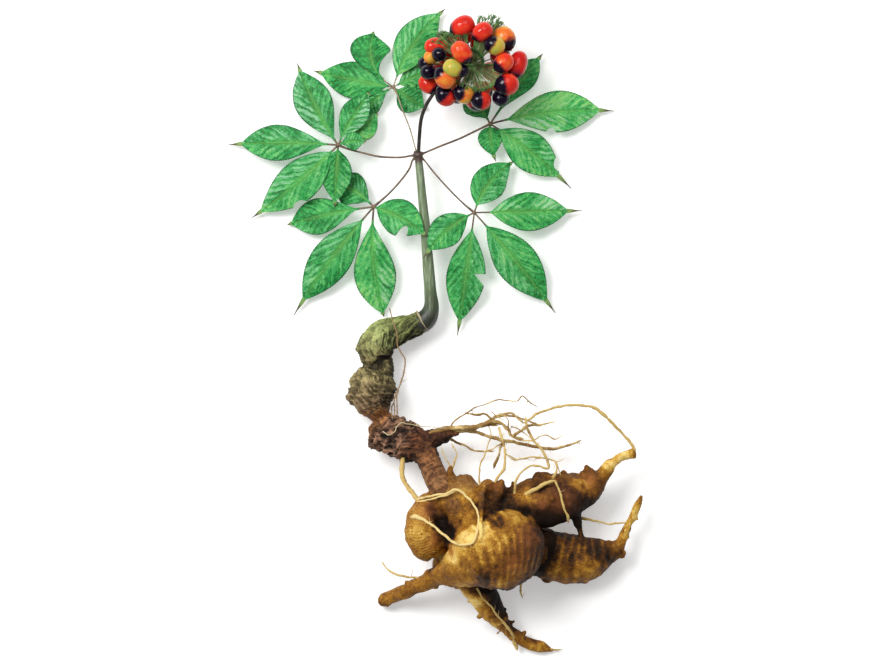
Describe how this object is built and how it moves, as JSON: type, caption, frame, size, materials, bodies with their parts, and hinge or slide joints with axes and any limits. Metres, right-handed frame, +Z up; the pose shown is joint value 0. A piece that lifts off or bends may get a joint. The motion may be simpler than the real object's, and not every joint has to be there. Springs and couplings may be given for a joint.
{
  "type": "vietnamese ginseng root",
  "caption": "Whole ginseng plant dug up and laid flat: lobed tuberous root, knobbly rhizome, slender stem, compound leaves and a round head of berries",
  "frame": {"origin": "the middle of the plant's outline seen from above, on the surface that it lies on", "axes": "+Z up from the surface, +Y from the root towards the leaves, +X to the right as seen from above"},
  "size_m": [0.208, 0.3233, 0.0561],
  "materials": {
    "tuber_skin": "ringed, earthy ochre skin",
    "rhizome_bark": "rough, scarred, mossy brown",
    "rootlet": "dry straw yellow",
    "stem": "smooth olive green",
    "leaf": "veined, softly waxy green",
    "berry": "glossy red with a black end"
  },
  "bodies": {
    "root": {"tuberous_root": "tuber_skin", "rhizome": "rhizome_bark", "fibrous_roots": "rootlet", "stem": "stem", "leaf_upper": "leaf", "leaf_left": "leaf", "leaf_lower_left": "leaf", "leaf_lower_right": "leaf", "leaf_right": "leaf", "berry_head": "berry"}
  },
  "joints": []
}
